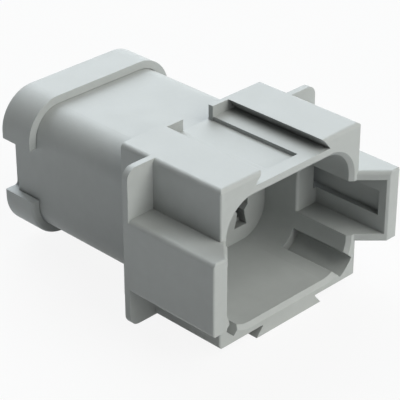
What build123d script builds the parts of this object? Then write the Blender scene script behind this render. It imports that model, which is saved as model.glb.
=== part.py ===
from build123d import *
import math
import os

# Sealed rectangular connector half for eight pin contacts. All lengths are in millimetres.
# The origin is on the mating axis, in the plane of the shroud's mouth. The mouth opens towards -Y,
# the wires leave towards +Y, and +Z points to the side with the clip slot.

# Contacts, in two rows
CONTACTS_PER_ROW = 4
CONTACT_PITCH = 5.25
ROW_OFFSET = 6.0
PIN_HOLE_RADIUS = 0.9
CONTACT_BORE_RADIUS = 1.95

# Mating cavity
CAVITY_HALF_WIDTH = 13.55
CAVITY_HALF_HEIGHT = 10.87
CAVITY_CORNER_RADIUS = 5.2
CAVITY_DEPTH = 18.0
LEAD_IN = 0.65

# Keyways in the lower corners of the cavity
KEYWAY_DEPTH = 1.7
RIGHT_KEYWAY_WIDTH = 3.6
LEFT_KEYWAY_WIDTH = 2.4
KEYWAY_LENGTH = 11.2
KEYWAY_ANGLE = 45

# Shroud
SIDE_WALL = 1.7
BOTTOM_WALL = 1.68
TOP_WALL = 3.55
CAVITY_REAR_WALL = 2.7
EDGE_RADIUS = 0.3
LENGTH_EDGE_RADIUS = 0.75
TOP_FRONT_RADIUS = 0.7

# Floor of the cavity: wedge slot, contact openings and locking fingers
FLOOR_THICKNESS = 1.6
WEDGE_SLOT_HALF_HEIGHT = 4.65
WEDGE_SLOT_SIDE_MARGIN = 1.6
WEDGE_SLOT_DEPTH = 9.0
OPENING_THROAT_HALF_WIDTH = 0.7
OPENING_THROAT_HEIGHT = 0.92
OPENING_FOOT_HALF_WIDTH = 1.4
OPENING_FOOT_HEIGHT = 3.55
FINGER_HALF_WIDTH = 1.1
FINGER_THICKNESS = 2.05
FINGER_TIP_GAP = 1.0
FINGER_HOOK = 0.6
FINGER_RAMP = 1.8

# Boxes on the two sides of the shroud
BOX_TOP = 6.08
BOX_BOTTOM = -6.35
BOX_MOUTH_TOP_RADIUS = 0.65
POCKET_TOP = 4.62
POCKET_BOTTOM = -5.0
BOX_LEAD = 3.7
BOX_POCKET_DEPTH = 11.0
POCKET_LIP_RADIUS = 0.5
LATCH_POCKET_WIDTH = 4.53
LATCH_WALL = 2.57
LATCH_MOUTH_START = 14.75
GUIDE_POCKET_WIDTH = 4.1
GUIDE_MOUTH_START = 13.9

# Catch window behind the latch pocket
CATCH_HALF_HEIGHT = 2.15
CATCH_DEPTH = 1.2
CATCH_INNER_STEP = 0.7
CATCH_FRONT = -1.87

# Wings. The guide box ends flush with the wing's edge
WING_HALF_WIDTH = 20.36
WING_FRONT = 13.87
WING_THICKNESS = 1.1
WING_CORNER_RADIUS = 1.8

# Dovetail slot on top and the rail below, which slides into the slot of a like part
SLOT_DEPTH = 1.85
SLOT_MOUTH_HALF_WIDTH = 6.65
DOVETAIL_FLARE = 1.5
STOP_THICKNESS = 0.9
STOP_GAP_HALF_WIDTH = 3.2
RECESS_HALF_WIDTH = 3.35
RECESS_DEPTH = 0.65
RECESS_FRONT = 2.3
RAIL_SIDE_CLEARANCE = 0.7
RAIL_HEIGHT_CLEARANCE = 0.25
RAIL_END_CLEARANCE = 0.1

# Rear body
BODY_TOP_DROP = 0.65
BODY_BOTTOM_LIFT = 0.5
BODY_CORNER_RADIUS = 5.0
BODY_LENGTH = 26.6
BODY_BLEND_RADIUS = 0.95

# Seal chamber, wire seal and its retainer
CHAMBER_WALL = 1.5
CHAMBER_DEPTH = 8.2
SEAL_CLEARANCE = 0.05
SEAL_RIB_HEIGHT = 0.45
SEAL_RIB_WIDTH = 1.0
SEAL_RIBS = 2
WIRE_LIP_RADIUS = 1.05
WIRE_LIP_LENGTH = 2.0
WIRE_HOLE_RADIUS = 1.5
CAP_WALL = 1.45
CAP_CLEARANCE = 0.08
CAP_SKIRT_LENGTH = 5.06
CAP_PLATE_THICKNESS = 1.76
CAP_SPIGOT_DEPTH = 1.2
CAP_SPIGOT_CLEARANCE = 0.1
CAP_REAR_CHAMFER = 0.15
CAP_LOWER_LIP_RADIUS = 0.6
CAP_GAP_HALF_HEIGHT = 4.7
CAP_GAP_STEP = 1.1
CAP_GAP_CORNER_RADIUS = 0.65
SNAP_HALF_LENGTH = 7.0
SNAP_HEIGHT = 0.35
SNAP_RUN = 0.6
SNAP_FROM_BODY_END = 2.6
SNAP_CLEARANCE = 0.08

# Extra length of a cut past the surface that it opens
PAST = 1.0

# Places that follow from the sizes above
SHROUD_HALF_WIDTH = CAVITY_HALF_WIDTH + SIDE_WALL
SHROUD_TOP = CAVITY_HALF_HEIGHT + TOP_WALL
SHROUD_BOTTOM = -CAVITY_HALF_HEIGHT - BOTTOM_WALL
SHROUD_LENGTH = CAVITY_DEPTH + CAVITY_REAR_WALL
WING_REAR = WING_FRONT + WING_THICKNESS
SLOT_FLOOR = SHROUD_TOP - SLOT_DEPTH
RECESS_FLOOR = SLOT_FLOOR - RECESS_DEPTH
STOP_FRONT = SHROUD_LENGTH - STOP_THICKNESS
FLOOR_REAR = CAVITY_DEPTH + FLOOR_THICKNESS
WEDGE_SLOT_END = CAVITY_DEPTH + WEDGE_SLOT_DEPTH
BODY_HALF_WIDTH = SHROUD_HALF_WIDTH - CAP_WALL
BODY_TOP = RECESS_FLOOR - BODY_TOP_DROP
BODY_BOTTOM = SHROUD_BOTTOM + CAP_WALL + BODY_BOTTOM_LIFT
BODY_MIDDLE = (BODY_TOP + BODY_BOTTOM) / 2
BODY_END = SHROUD_LENGTH + BODY_LENGTH
CHAMBER_FLOOR = BODY_END - CHAMBER_DEPTH
CAP_FRONT = BODY_END - CAP_SKIRT_LENGTH
CAP_REAR = BODY_END + CAP_PLATE_THICKNESS
SPIGOT_FRONT = BODY_END - CAP_SPIGOT_DEPTH
SNAP_PLACE = BODY_END - SNAP_FROM_BODY_END


def across(y):
    """Plane across the connector at y: its own x runs along +X and its own y along +Z."""
    return Plane(origin=(0, y, 0), x_dir=(1, 0, 0), z_dir=(0, -1, 0))


def prism(outline, front, rear):
    """Solid with one outline all along, from the front plane to the rear plane."""
    return extrude(across(rear) * outline, amount=rear - front, dir=(0, -1, 0))


def block(x_limits, y_limits, z_limits):
    """Plain block between its limits, given in either order."""
    sides = [abs(high - low) for low, high in (x_limits, y_limits, z_limits)]
    middle = [(low + high) / 2 for low, high in (x_limits, y_limits, z_limits)]
    return Pos(*middle) * Box(*sides)


def rounded_outline(half_width, top, bottom, radius):
    """Rounded rectangle from bottom to top, centred across the width."""
    return Pos(0, (top + bottom) / 2) * RectangleRounded(2 * half_width, top - bottom, radius)


def body_outline(inset=0.0):
    """Outline of the rear body, drawn in by the inset."""
    return rounded_outline(
        BODY_HALF_WIDTH - inset, BODY_TOP - inset, BODY_BOTTOM + inset, BODY_CORNER_RADIUS - inset)


def contact_places():
    """Centre of each contact and the side of its row, row by row."""
    first = -(CONTACTS_PER_ROW - 1) / 2 * CONTACT_PITCH
    columns = [first + CONTACT_PITCH * index for index in range(CONTACTS_PER_ROW)]
    return [(x, row) for row in (1, -1) for x in columns]


def contact_holes(radius, front, rear):
    """Round holes on all contact axes."""
    spots = [Pos(x, row * ROW_OFFSET) * Circle(radius) for x, row in contact_places()]
    return prism(Sketch() + spots, front, rear)


def shroud():
    """Outer block around the mating cavity. Its edges are rounded along its length and at its mouth."""
    whole = block((-SHROUD_HALF_WIDTH, SHROUD_HALF_WIDTH), (0, SHROUD_LENGTH), (SHROUD_BOTTOM, SHROUD_TOP))
    lengthwise = fillet(whole.edges().filter_by(Axis.Y), LENGTH_EDGE_RADIUS)
    at_mouth = whole.edges().filter_by_position(Axis.Y, 0, 0)
    upright = fillet(at_mouth.filter_by(Axis.Z), EDGE_RADIUS)
    lower_edge, upper_edge = at_mouth.filter_by(Axis.X).sort_by(Axis.Z)
    return lengthwise & upright & fillet(lower_edge, EDGE_RADIUS) & fillet(upper_edge, TOP_FRONT_RADIUS)


def wings():
    """Thin plate that stands out on both sides of the shroud."""
    outline = rounded_outline(WING_HALF_WIDTH, SHROUD_TOP, SHROUD_BOTTOM, WING_CORNER_RADIUS)
    return prism(outline, WING_FRONT, WING_REAR)


def edge_waste(middle, outward, half_length, radius):
    """Waste outside a rounded upper or lower edge of a side box. The face beside it looks outwards."""
    side = math.copysign(1, middle[2])
    section = Pos((PAST - radius) / 2, (PAST - radius) / 2) * Rectangle(radius + PAST, radius + PAST)
    section -= Pos(-radius, -radius) * Circle(radius)
    plane = Plane(origin=middle, x_dir=(*outward, 0), z_dir=(side * outward[1], -side * outward[0], 0))
    return extrude(plane * section, amount=half_length + PAST, both=True)


def side_box(mouth_start, outer, long_radius):
    """Box on the +X side. Its mouth runs forwards and outwards at 45 degrees from the shroud's mouth."""
    inner = CAVITY_HALF_WIDTH
    tip = mouth_start + BOX_LEAD
    plan = Polygon(
        (inner, WING_REAR),
        (inner, mouth_start - inner),
        (tip, -BOX_LEAD),
        (outer, -BOX_LEAD),
        (outer, WING_REAR),
        align=None,
    )
    solid = extrude(Pos(0, 0, BOX_BOTTOM) * plan, amount=BOX_TOP - BOX_BOTTOM, dir=(0, 0, 1))
    upright = [edge for edge in solid.edges().filter_by(Axis.Z) if edge.center().Y < 0]
    solid = fillet(upright, EDGE_RADIUS)
    mouth_middle = ((inner + tip) / 2, mouth_start - (inner + tip) / 2)
    for level, mouth_radius in ((BOX_TOP, BOX_MOUTH_TOP_RADIUS), (BOX_BOTTOM, EDGE_RADIUS)):
        solid -= edge_waste(
            (outer, (WING_REAR - BOX_LEAD) / 2, level), (1, 0), (WING_REAR + BOX_LEAD) / 2, long_radius)
        solid -= edge_waste(((tip + outer) / 2, -BOX_LEAD, level), (0, -1), (outer - tip) / 2, EDGE_RADIUS)
        solid -= edge_waste((*mouth_middle, level), (-1, -1), tip - inner, mouth_radius)
    return solid


def side_pocket(width):
    """Space inside the +X box, open to the cavity, past the rounded lip at its rear."""
    wall = CAVITY_HALF_WIDTH
    inside = wall - SIDE_WALL
    outer = wall + width
    front = -BOX_LEAD - PAST
    lip = POCKET_LIP_RADIUS
    middle = lip * (1 - math.sqrt(0.5))
    lip_arc = ThreePointArc(
        (wall, BOX_POCKET_DEPTH + lip),
        (wall + middle, BOX_POCKET_DEPTH + middle),
        (wall + lip, BOX_POCKET_DEPTH),
    )
    rest = Polyline(
        (wall + lip, BOX_POCKET_DEPTH),
        (outer, BOX_POCKET_DEPTH),
        (outer, front),
        (inside, front),
        (inside, BOX_POCKET_DEPTH + lip),
        (wall, BOX_POCKET_DEPTH + lip),
    )
    plan = Pos(0, 0, POCKET_BOTTOM) * make_face(lip_arc + rest)
    return extrude(plan, amount=POCKET_TOP - POCKET_BOTTOM, dir=(0, 0, 1))


def catch_window():
    """Recess for the plug's catch in the latch wall, which runs out through the wing."""
    wall = CAVITY_HALF_WIDTH + LATCH_POCKET_WIDTH
    return block(
        (wall - CATCH_INNER_STEP, wall + CATCH_DEPTH),
        (CATCH_FRONT, WING_REAR + PAST),
        (-CATCH_HALF_HEIGHT, CATCH_HALF_HEIGHT),
    )


def cavity():
    """Mating cavity with its 45 degree lead-in."""
    def outline(grow):
        return rounded_outline(
            CAVITY_HALF_WIDTH + grow,
            CAVITY_HALF_HEIGHT + grow,
            -CAVITY_HALF_HEIGHT - grow,
            CAVITY_CORNER_RADIUS + grow,
        )

    lead_in = loft([across(-PAST) * outline(LEAD_IN + PAST), across(LEAD_IN) * outline(0)], ruled=True)
    return prism(outline(0), 0, CAVITY_DEPTH) + lead_in


def keyway(side, width):
    """Groove in a lower corner. Its floor is concentric with the corner."""
    reach = CAVITY_CORNER_RADIUS + KEYWAY_DEPTH
    centre = Pos(
        side * (CAVITY_HALF_WIDTH - CAVITY_CORNER_RADIUS),
        -(CAVITY_HALF_HEIGHT - CAVITY_CORNER_RADIUS),
    )
    strip = Pos(reach / 2, 0) * Rectangle(reach, width)
    angle = -KEYWAY_ANGLE if side > 0 else KEYWAY_ANGLE - 180
    outline = Circle(reach) & Rot(0, 0, angle) * strip
    return prism(centre * outline, -PAST, KEYWAY_LENGTH)


def dovetail(mouth_half_width, depth):
    """Dovetail section that opens upwards at height 0 and widens down to its depth."""
    flare = DOVETAIL_FLARE * depth / SLOT_DEPTH
    return Polygon(
        (-mouth_half_width, PAST),
        (-mouth_half_width, 0),
        (-mouth_half_width - flare, -depth),
        (mouth_half_width + flare, -depth),
        (mouth_half_width, 0),
        (mouth_half_width, PAST),
        align=None,
    )


def clip_slot():
    """Dovetail slot on top, its central recess and the gap between the two stops."""
    slot = prism(Pos(0, SHROUD_TOP) * dovetail(SLOT_MOUTH_HALF_WIDTH, SLOT_DEPTH), -PAST, STOP_FRONT)
    recess = block(
        (-RECESS_HALF_WIDTH, RECESS_HALF_WIDTH), (RECESS_FRONT, STOP_FRONT), (RECESS_FLOOR, SHROUD_TOP))
    gap = block(
        (-STOP_GAP_HALF_WIDTH, STOP_GAP_HALF_WIDTH),
        (RECESS_FRONT, SHROUD_LENGTH + BODY_BLEND_RADIUS),
        (RECESS_FLOOR, SHROUD_TOP + PAST),
    )
    return slot + recess + gap


def rail():
    """Dovetail rail below, short enough to stop inside the slot of a like part."""
    root = SLOT_MOUTH_HALF_WIDTH - RAIL_SIDE_CLEARANCE
    height = SLOT_DEPTH - RAIL_HEIGHT_CLEARANCE
    solid = prism(Pos(0, SHROUD_BOTTOM) * dovetail(root, height), 0, STOP_FRONT - RAIL_END_CLEARANCE)
    inside_shroud = (SHROUD_BOTTOM + BOTTOM_WALL / 2, SHROUD_BOTTOM + PAST)
    span = (-SHROUD_HALF_WIDTH, SHROUD_HALF_WIDTH)
    return solid - block(span, (-PAST, SHROUD_LENGTH), inside_shroud)


def rear_body():
    """Body behind the shroud, straight to its end under the cap."""
    return prism(body_outline(), SHROUD_LENGTH - PAST, BODY_END)


def outer_form():
    """Shroud and body with the soft blend between them."""
    joined = shroud() + rear_body()
    root = joined.edges().filter_by_position(Axis.Y, SHROUD_LENGTH, SHROUD_LENGTH)
    inside = [edge for edge in root if abs(edge.center().X) < BODY_HALF_WIDTH + EDGE_RADIUS]
    blend = [edge for edge in inside if BODY_BOTTOM - PAST < edge.center().Z < RECESS_FLOOR + PAST]
    return fillet(blend, BODY_BLEND_RADIUS)


def snap_beads(grow):
    """Beads on the top and bottom of the body's end. Grown, they cut the cap's grooves."""
    run = SNAP_RUN + grow
    height = SNAP_HEIGHT + grow
    section = Polygon((-run, 0), (0, height), (run, 0), (0, -height), align=None)
    length = SNAP_HALF_LENGTH + grow
    along_x = Plane(origin=(-length, 0, 0), x_dir=(0, 1, 0), z_dir=(1, 0, 0))
    bead = extrude(along_x * section, amount=2 * length, dir=(1, 0, 0))
    return [Pos(0, SNAP_PLACE, height_of_face) * bead for height_of_face in (BODY_TOP, BODY_BOTTOM)]


def contact_openings():
    """Openings in the cavity's floor. Each narrows from the wedge slot, then widens round its pin."""
    throat = WEDGE_SLOT_HALF_HEIGHT + OPENING_THROAT_HEIGHT
    foot = WEDGE_SLOT_HALF_HEIGHT + OPENING_FOOT_HEIGHT
    right_side = [
        (WEDGE_SLOT_SIDE_MARGIN, WEDGE_SLOT_HALF_HEIGHT),
        (OPENING_THROAT_HALF_WIDTH, throat),
        (OPENING_FOOT_HALF_WIDTH, foot),
    ]
    left_side = [(-x, z) for x, z in reversed(right_side)]
    upper = Polygon(*right_side, *left_side, align=None) + Pos(0, ROW_OFFSET) * Circle(PIN_HOLE_RADIUS)
    lower = mirror(upper, about=Plane.XZ)
    spots = [Pos(x, 0) * (upper if row > 0 else lower) for x, row in contact_places()]
    return prism(Sketch() + spots, CAVITY_DEPTH - PAST, FLOOR_REAR)


def wedge_slot():
    """Slot for the wedge that locks the contacts, open to the cavity."""
    half_width = (CONTACTS_PER_ROW - 1) / 2 * CONTACT_PITCH + WEDGE_SLOT_SIDE_MARGIN
    return block(
        (-half_width, half_width),
        (CAVITY_DEPTH - PAST, WEDGE_SLOT_END),
        (-WEDGE_SLOT_HALF_HEIGHT, WEDGE_SLOT_HALF_HEIGHT),
    )


def locking_finger(x, row):
    """Springy finger from the slot's end to its hook, which reaches into the contact's bore."""
    tip = FLOOR_REAR + FINGER_TIP_GAP
    outer = WEDGE_SLOT_HALF_HEIGHT
    bar = block(
        (x - FINGER_HALF_WIDTH, x + FINGER_HALF_WIDTH),
        (tip, WEDGE_SLOT_END),
        (row * (outer - FINGER_THICKNESS), row * outer),
    )
    to_bore = across(WEDGE_SLOT_END) * Pos(x, row * ROW_OFFSET)
    straight = extrude(
        to_bore * Circle(CONTACT_BORE_RADIUS), amount=WEDGE_SLOT_END - tip - FINGER_RAMP, dir=(0, -1, 0))
    ramp_start = across(tip + FINGER_RAMP) * Pos(x, row * ROW_OFFSET) * Circle(CONTACT_BORE_RADIUS)
    ramp_end = across(tip) * Pos(x, row * ROW_OFFSET) * Circle(CONTACT_BORE_RADIUS - FINGER_HOOK)
    return bar - straight - loft([ramp_end, ramp_start], ruled=True)


def housing():
    """The whole moulding."""
    latch_outer = CAVITY_HALF_WIDTH + LATCH_POCKET_WIDTH + LATCH_WALL
    solid = outer_form() + wings() + rail()
    solid += side_box(LATCH_MOUTH_START, latch_outer, EDGE_RADIUS)
    solid += mirror(side_box(GUIDE_MOUTH_START, WING_HALF_WIDTH, LENGTH_EDGE_RADIUS), about=Plane.YZ)
    solid -= side_pocket(LATCH_POCKET_WIDTH)
    solid -= mirror(side_pocket(GUIDE_POCKET_WIDTH), about=Plane.YZ)
    solid -= cavity()
    solid -= keyway(1, RIGHT_KEYWAY_WIDTH)
    solid -= keyway(-1, LEFT_KEYWAY_WIDTH)
    solid -= catch_window()
    solid -= clip_slot()
    solid -= wedge_slot()
    solid -= contact_openings()
    solid -= contact_holes(CONTACT_BORE_RADIUS, FLOOR_REAR, CHAMBER_FLOOR)
    solid -= prism(body_outline(CHAMBER_WALL), CHAMBER_FLOOR, BODY_END)
    solid += snap_beads(0)
    solid += [locking_finger(x, row) for x, row in contact_places()]
    return solid


def wire_seal():
    """Soft grommet that fills the chamber. It has outer ribs, and a tight lip in front of each wire hole."""
    length = SPIGOT_FRONT - CHAMBER_FLOOR
    core = prism(
        body_outline(CHAMBER_WALL + SEAL_CLEARANCE + SEAL_RIB_HEIGHT), CHAMBER_FLOOR, SPIGOT_FRONT)
    rib_pitch = length / SEAL_RIBS
    for index in range(SEAL_RIBS):
        middle = CHAMBER_FLOOR + rib_pitch * (index + 0.5)
        core += prism(
            body_outline(CHAMBER_WALL + SEAL_CLEARANCE),
            middle - SEAL_RIB_WIDTH / 2,
            middle + SEAL_RIB_WIDTH / 2,
        )
    core -= contact_holes(WIRE_LIP_RADIUS, CHAMBER_FLOOR - PAST, SPIGOT_FRONT)
    return core - contact_holes(WIRE_HOLE_RADIUS, CHAMBER_FLOOR + WIRE_LIP_LENGTH, SPIGOT_FRONT + PAST)


def cap_blank():
    """Outer form of the cap: sharp upper front edge, rounded lower lip, broken rear edge."""
    blank = prism(body_outline(-CAP_WALL), CAP_FRONT, CAP_REAR)
    blank = chamfer(blank.faces().sort_by(Axis.Y)[-1].edges(), CAP_REAR_CHAMFER)
    lipped = fillet(blank.faces().sort_by(Axis.Y)[0].edges(), CAP_LOWER_LIP_RADIUS)
    span = (-2 * BODY_HALF_WIDTH, 2 * BODY_HALF_WIDTH)
    length = (CAP_FRONT - PAST, CAP_REAR + PAST)
    upper = blank - block(span, length, (2 * BODY_BOTTOM, BODY_MIDDLE))
    lower = lipped - block(span, length, (BODY_MIDDLE, 2 * BODY_TOP))
    return upper + lower


def cap_side_gap(side):
    """Gap between the two skirts, cut down to the end plate's side."""
    reach = 2 * CAP_WALL + CAP_GAP_STEP
    middle = side * (BODY_HALF_WIDTH - CAP_GAP_STEP + reach / 2)
    outline = Pos(middle, BODY_MIDDLE) * RectangleRounded(
        reach, 2 * CAP_GAP_HALF_HEIGHT, CAP_GAP_CORNER_RADIUS)
    return prism(outline, CAP_FRONT - PAST, CAP_REAR + PAST)


def seal_retainer():
    """Cap that holds the seal: end plate with wire holes, spigot and two snap-on skirts."""
    cap = cap_blank()
    cap -= prism(body_outline(-CAP_CLEARANCE), CAP_FRONT - PAST, BODY_END)
    cap -= cap_side_gap(1)
    cap -= cap_side_gap(-1)
    cap -= snap_beads(SNAP_CLEARANCE)
    cap += prism(body_outline(CHAMBER_WALL + CAP_SPIGOT_CLEARANCE), SPIGOT_FRONT, BODY_END)
    cap -= contact_holes(CONTACT_BORE_RADIUS, SPIGOT_FRONT - PAST, CAP_REAR + PAST)
    return cap


os.makedirs("parts", exist_ok=True)
export_step(housing(), "parts/housing.step")
export_step(wire_seal(), "parts/wire_seal.step")
export_step(seal_retainer(), "parts/seal_retainer.step")
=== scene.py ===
import math

import bpy
from mathutils import Matrix, Vector


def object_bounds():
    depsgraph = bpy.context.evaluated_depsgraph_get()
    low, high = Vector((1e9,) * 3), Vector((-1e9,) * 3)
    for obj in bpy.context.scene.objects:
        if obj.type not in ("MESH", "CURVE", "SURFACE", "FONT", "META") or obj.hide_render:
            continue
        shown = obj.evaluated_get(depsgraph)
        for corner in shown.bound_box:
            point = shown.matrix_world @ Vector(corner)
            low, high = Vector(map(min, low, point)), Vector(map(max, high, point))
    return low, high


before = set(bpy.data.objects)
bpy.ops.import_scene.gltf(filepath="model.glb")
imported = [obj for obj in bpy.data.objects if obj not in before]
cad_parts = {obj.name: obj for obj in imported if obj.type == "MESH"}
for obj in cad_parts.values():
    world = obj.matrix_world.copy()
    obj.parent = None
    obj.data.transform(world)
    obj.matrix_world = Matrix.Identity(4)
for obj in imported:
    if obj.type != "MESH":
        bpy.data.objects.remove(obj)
cad_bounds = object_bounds()

# One millimetre in the scene's own unit, the metre
MM = 0.001

# Camera: it looks at the target from the front left and above
CAMERA_AZIMUTH = math.radians(-45.05)
CAMERA_ELEVATION = math.radians(29.44)
CAMERA_DISTANCE = 252.8 * MM
CAMERA_TARGET = Vector((-7.91, 11.48, 5.58)) * MM
CAMERA_LENS = 152.07
CAMERA_SENSOR = 36.0

# Light: levels are shares of the one at which a colour renders as it is written. Angles are in degrees, and
# a lamp's azimuth is counted from the mouth's side, -Y, towards the latch side, +X. The key and rear lamps
# stand behind the part, on its latch side, and light its top. The mouth and front lamps light the faces
# round the mouth
KEY_LEVEL, KEY_AZIMUTH, KEY_ELEVATION = 0.62, 135, 34
REAR_LEVEL, REAR_AZIMUTH, REAR_ELEVATION = 0.37, 165, 35
MOUTH_LEVEL, MOUTH_AZIMUTH, MOUTH_ELEVATION = 0.37, 5, 15
FRONT_LEVEL, FRONT_AZIMUTH, FRONT_ELEVATION = 0.53, 22, 50
LAMP_SPREAD = math.radians(50)

# Colours, in sRGB hex
COOL_LIGHT = "#F1F9FF"
WARM_LIGHT = "#FEFFFA"
PURE_WHITE = "#FFFFFF"
PLASTIC_GREY = "#B6B9B8"
SILICONE_RED = "#A8442A"
FLOOR_PALE = "#D6D6D6"

# Plastic: softness of its edges in shading, and the size, height and strength of its grain. The tool's real
# grain is about 0.05 mm and is drawn coarser, so that it shows
MOULDED_EDGE = 0.08 * MM
TOOL_GRAIN = 0.35 * MM
GRAIN_HEIGHT = 0.02 * MM
GRAIN_STRENGTH = 0.25
# The mottle from the fibres: its size, and how far it moves brightness and roughness
FIBRE_MOTTLE = 2.5 * MM
MOTTLE_VALUES = 0.97, 1.03
PLASTIC_ROUGHNESS = 0.50, 0.60
PLASTIC_IOR = 1.52
PLASTIC_GLOSS = 0.35
# Painted shade in recesses: how far a spot looks round itself, the shares of open view at which the painted
# shade is deepest and gone, and the share of the colour's brightness that is left where it is deepest
PAINTED_SHADE_REACH = 12 * MM
PAINTED_SHADE_SHUT, PAINTED_SHADE_OPEN = 0.05, 0.55
PAINTED_SHADE_BRIGHTNESS = 0.45

# Silicone: softness of its edges, its waviness, and the patches of oil on it
RUBBER_EDGE = 0.15 * MM
RUBBER_WAVINESS = 1.8 * MM
WAVE_HEIGHT = 0.05 * MM
WAVE_STRENGTH = 0.3
OIL_PATCHES = 3.0 * MM
OIL_VALUES = 1.04, 0.94
SILICONE_ROUGHNESS = 0.34, 0.55
SILICONE_IOR = 1.41

# Noise: how many finer layers each pattern has, how strong those are, and the middle range that nearly all
# of its values lie in
MOTTLE_DETAIL, GRAIN_DETAIL, OIL_DETAIL, WAVE_DETAIL = 4.0, 3.0, 3.0, 2.0
NOISE_ROUGHNESS = 0.6
NOISE_LOW, NOISE_HIGH = 0.3, 0.7
# How many rays the soft edges and the recesses take at a spot
SHADING_SAMPLES = 6

# Floor: its half width, and how much of its shadow the camera sees
FLOOR_HALF_WIDTH = 2000 * MM
FLOOR_SHADOW_SHARE = 0.1


def linear(hex_colour):
    """Linear RGBA of an sRGB hex colour."""
    parts = [int(hex_colour[start:start + 2], 16) / 255 for start in (1, 3, 5)]
    return [c / 12.92 if c <= 0.04045 else ((c + 0.055) / 1.055) ** 2.4 for c in parts] + [1.0]


def add_node(tree, kind, settings=None, inputs=None):
    """Adds a node. An input is a plain value, or a socket to link from."""
    made = tree.nodes.new(kind)
    for name, value in (settings or {}).items():
        setattr(made, name, value)
    for name, value in (inputs or {}).items():
        if isinstance(value, bpy.types.NodeSocket):
            tree.links.new(value, made.inputs[name])
        else:
            made.inputs[name].default_value = value
    return made


def new_material(name):
    """Empty node material and its tree, ready for a shader."""
    material = bpy.data.materials.new(name)
    material.use_nodes = True
    material.node_tree.nodes.clear()
    return material, material.node_tree


def finish_surface(tree, shader_socket):
    """Sends a shader to the material's output."""
    add_node(tree, "ShaderNodeOutputMaterial", inputs={"Surface": shader_socket})


def noise(tree, size, detail):
    """Soft noise over the surface, with lumps of about the size given in metres."""
    coords = add_node(tree, "ShaderNodeTexCoord").outputs["Object"]
    made = add_node(tree, "ShaderNodeTexNoise", inputs={
        "Vector": coords, "Scale": 1 / size, "Detail": detail, "Roughness": NOISE_ROUGHNESS})
    return made.outputs["Fac"]


def map_range(tree, value, before, after):
    """Maps a value from one pair of ends to another, and holds it between them."""
    made = add_node(tree, "ShaderNodeMapRange", inputs={
        "Value": value, "From Min": before[0], "From Max": before[1],
        "To Min": after[0], "To Max": after[1]})
    return made.outputs["Result"]


def spread_over(tree, value, ends):
    """Stretches a noise's middle range over a pair of ends."""
    return map_range(tree, value, (NOISE_LOW, NOISE_HIGH), ends)


def soft_relief(tree, edge, height, strength, distance):
    """Normal of a surface with edges rounded by this radius and a fine relief on it."""
    soft_edges = add_node(tree, "ShaderNodeBevel", {"samples": SHADING_SAMPLES}, {"Radius": edge})
    bump = add_node(tree, "ShaderNodeBump", inputs={
        "Height": height, "Strength": strength, "Distance": distance,
        "Normal": soft_edges.outputs["Normal"]})
    return bump.outputs["Normal"]


def toned(tree, colour, value):
    """The colour with its brightness times the value."""
    made = add_node(tree, "ShaderNodeHueSaturation", inputs={"Color": linear(colour), "Value": value})
    return made.outputs["Color"]


def painted_recess_shade(tree):
    """Painted shade: 1 on open faces, and less where the plastic closes in round a spot, to darken its
    colour there.
    """
    openness = add_node(tree, "ShaderNodeAmbientOcclusion", {
        "samples": SHADING_SAMPLES, "only_local": True}, {"Distance": PAINTED_SHADE_REACH})
    return map_range(tree, openness.outputs["AO"], (PAINTED_SHADE_SHUT, PAINTED_SHADE_OPEN), (PAINTED_SHADE_BRIGHTNESS, 1.0))


def moulded_plastic(name, colour):
    """Glass-filled polyester, injection moulded in a spark-eroded tool. Satin, with a fine grain, a very
    faint mottle from the glass fibres near the skin, and edges that catch a thin soft light. Its colour
    is darkened in narrow recesses, which is painted shade."""
    material, tree = new_material(name)
    mottle = noise(tree, FIBRE_MOTTLE, MOTTLE_DETAIL)
    # The colour's brightness: the fibre mottle times the painted shade in recesses
    value = add_node(tree, "ShaderNodeMath", {"operation": "MULTIPLY"}, {
        0: spread_over(tree, mottle, MOTTLE_VALUES), 1: painted_recess_shade(tree)})
    grain = noise(tree, TOOL_GRAIN, GRAIN_DETAIL)
    shader = add_node(tree, "ShaderNodeBsdfPrincipled", inputs={
        "Base Color": toned(tree, colour, value.outputs[0]),
        "Roughness": spread_over(tree, mottle, PLASTIC_ROUGHNESS),
        "IOR": PLASTIC_IOR,
        "Specular IOR Level": PLASTIC_GLOSS,
        "Normal": soft_relief(tree, MOULDED_EDGE, grain, GRAIN_STRENGTH, GRAIN_HEIGHT)})
    finish_surface(tree, shader.outputs["BSDF"])
    return material


def moulded_silicone(name, colour):
    """Silicone rubber, moulded in a polished tool. Smooth and a little waxy, with oil that has sweated out
    unevenly, so its gloss comes and goes."""
    material, tree = new_material(name)
    oil = noise(tree, OIL_PATCHES, OIL_DETAIL)
    waves = noise(tree, RUBBER_WAVINESS, WAVE_DETAIL)
    shader = add_node(tree, "ShaderNodeBsdfPrincipled", inputs={
        "Base Color": toned(tree, colour, spread_over(tree, oil, OIL_VALUES)),
        "Roughness": spread_over(tree, oil, SILICONE_ROUGHNESS),
        "IOR": SILICONE_IOR,
        "Normal": soft_relief(tree, RUBBER_EDGE, waves, WAVE_STRENGTH, WAVE_HEIGHT)})
    finish_surface(tree, shader.outputs["BSDF"])
    return material


def dress(node, material):
    """Gives a CAD node its finish."""
    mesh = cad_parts[node].data
    mesh.materials.clear()
    mesh.materials.append(material)


def direction(azimuth, elevation):
    """Unit vector from the part towards a place seen at this azimuth and elevation."""
    return Vector((
        math.sin(azimuth) * math.cos(elevation),
        -math.cos(azimuth) * math.cos(elevation),
        math.sin(elevation),
    ))


def add_camera():
    """Camera at the photograph's viewing angle."""
    camera = bpy.data.objects.new("camera", bpy.data.cameras.new("camera"))
    bpy.context.scene.collection.objects.link(camera)
    camera.data.lens = CAMERA_LENS
    camera.data.sensor_width = CAMERA_SENSOR
    camera.data.clip_start = MM
    away = direction(CAMERA_AZIMUTH, CAMERA_ELEVATION)
    turn = away.to_track_quat("Z", "Y").to_matrix().to_4x4()
    camera.matrix_world = Matrix.Translation(CAMERA_TARGET + away * CAMERA_DISTANCE) @ turn
    bpy.context.scene.camera = camera


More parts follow.
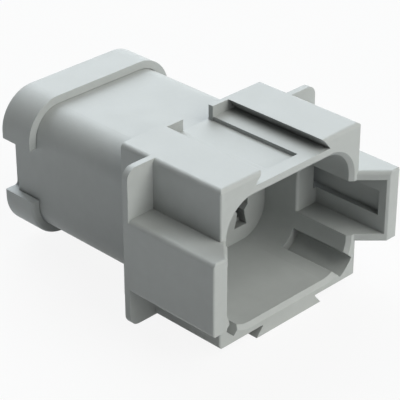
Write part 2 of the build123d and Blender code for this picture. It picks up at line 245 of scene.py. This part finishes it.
def add_lamp(name, colour, level, azimuth, elevation):
    """Distant soft lamp. At level 1 it renders a face square to it in the face's own colour."""
    lamp = bpy.data.lights.new(name, "SUN")
    lamp.color = linear(colour)[:3]
    lamp.energy = level * math.pi
    lamp.angle = LAMP_SPREAD
    holder = bpy.data.objects.new(name, lamp)
    bpy.context.scene.collection.objects.link(holder)
    towards = direction(math.radians(azimuth), math.radians(elevation))
    holder.matrix_world = towards.to_track_quat("Z", "Y").to_matrix().to_4x4()


def seen_directly(tree):
    """1 for rays from the camera, from gloss and through clear things, and 0 for soft bounced light."""
    path = add_node(tree, "ShaderNodeLightPath")
    gloss = add_node(tree, "ShaderNodeMath", {"operation": "MAXIMUM"}, {
        0: path.outputs["Is Glossy Ray"], 1: path.outputs["Is Transmission Ray"]})
    seen = add_node(tree, "ShaderNodeMath", {"operation": "MAXIMUM"}, {
        0: path.outputs["Is Camera Ray"], 1: gloss.outputs[0]})
    return seen.outputs[0]


def add_floor():
    """Wide pale floor under the part. It shows white, with a faint shadow."""
    material, tree = new_material("pale_floor")
    matte = add_node(tree, "ShaderNodeBsdfDiffuse", inputs={"Color": linear(FLOOR_PALE)})
    white = add_node(tree, "ShaderNodeEmission", inputs={"Color": linear(PURE_WHITE), "Strength": 1.0})
    share = add_node(tree, "ShaderNodeMath", {"operation": "MULTIPLY"}, {
        0: seen_directly(tree), 1: 1 - FLOOR_SHADOW_SHARE})
    mixed = add_node(tree, "ShaderNodeMixShader", inputs={
        0: share.outputs[0], 1: matte.outputs[0], 2: white.outputs[0]})
    finish_surface(tree, mixed.outputs[0])
    level = cad_bounds[0][2]
    corners = [(x * FLOOR_HALF_WIDTH, y * FLOOR_HALF_WIDTH, level)
               for x, y in ((-1, -1), (1, -1), (1, 1), (-1, 1))]
    mesh = bpy.data.meshes.new("floor")
    mesh.from_pydata(corners, [], [(0, 1, 2, 3)])
    mesh.materials.append(material)
    floor = bpy.data.objects.new("floor", mesh)
    bpy.context.scene.collection.objects.link(floor)


def add_world():
    """The camera, gloss and clear things see plain white. The lamps alone light the part."""
    world = bpy.data.worlds.new("studio")
    bpy.context.scene.world = world
    world.use_nodes = True
    tree = world.node_tree
    tree.nodes.clear()
    white = add_node(tree, "ShaderNodeBackground", inputs={
        "Color": linear(PURE_WHITE), "Strength": seen_directly(tree)})
    add_node(tree, "ShaderNodeOutputWorld", inputs={"Surface": white.outputs[0]})


add_camera()
add_lamp("key", COOL_LIGHT, KEY_LEVEL, KEY_AZIMUTH, KEY_ELEVATION)
add_lamp("rear", COOL_LIGHT, REAR_LEVEL, REAR_AZIMUTH, REAR_ELEVATION)
add_lamp("mouth", WARM_LIGHT, MOUTH_LEVEL, MOUTH_AZIMUTH, MOUTH_ELEVATION)
add_lamp("front", WARM_LIGHT, FRONT_LEVEL, FRONT_AZIMUTH, FRONT_ELEVATION)
add_world()
add_floor()

scene = bpy.context.scene
scene.view_settings.view_transform = "Standard"

dress("housing", moulded_plastic("moulded_grey_plastic", PLASTIC_GREY))
dress("seal_retainer", moulded_plastic("moulded_grey_plastic_cap", PLASTIC_GREY))
dress("wire_seal", moulded_silicone("moulded_silicone", SILICONE_RED))
